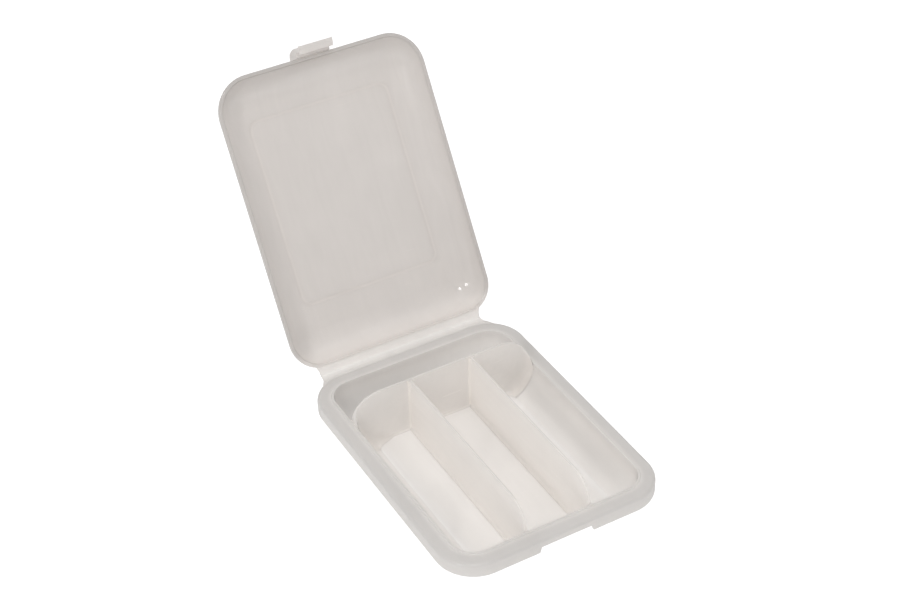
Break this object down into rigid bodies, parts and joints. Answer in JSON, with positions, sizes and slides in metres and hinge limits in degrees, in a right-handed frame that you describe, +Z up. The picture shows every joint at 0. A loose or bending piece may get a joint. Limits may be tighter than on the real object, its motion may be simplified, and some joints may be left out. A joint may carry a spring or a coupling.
{
  "type": "hinged compartment box",
  "caption": "Shallow rounded box in translucent plastic with a hinged domed lid, a snap latch tab, lengthwise lanes and a crosswise rear compartment.",
  "frame": {"origin": "centre of the flat underside of the base", "axes": "+Z up, +Y towards the hinge at the back, X along the hinge; at rest the lid is open 121.6 degrees from closed"},
  "size_m": [0.0912, 0.1933, 0.1248],
  "materials": {
    "base_plastic": "natural translucent polypropylene, semi-gloss",
    "divider_plastic": "natural translucent polypropylene, satin",
    "lid_plastic": "natural translucent polypropylene, semi-gloss",
    "hinge_plastic": "thin flexed polypropylene web"
  },
  "bodies": {
    "base": {"base_tray": "base_plastic", "left_divider": "divider_plastic", "right_divider": "divider_plastic", "rear_partition": "divider_plastic", "base_hinge_leaf": "hinge_plastic"},
    "lid": {"lid_shell": "lid_plastic", "lid_hinge_leaf": "hinge_plastic"},
    "latch": {"latch_tab": "lid_plastic"}
  },
  "joints": [
    {"name": "lid_hinge", "type": "hinge", "parent": "base", "child": "lid", "pos_m": [0, 0.0632, 0.01475], "axis": [1, 0, 0], "range_deg": [-58.4, 121.6]},
    {"name": "latch_flex", "type": "hinge", "parent": "lid", "child": "latch", "pos_m": [0, 0.13147, 0.11552], "axis": [1, 0, 0], "range_deg": [-12, 0], "stiffness_Nm_per_rad": 0.05}
  ]
}
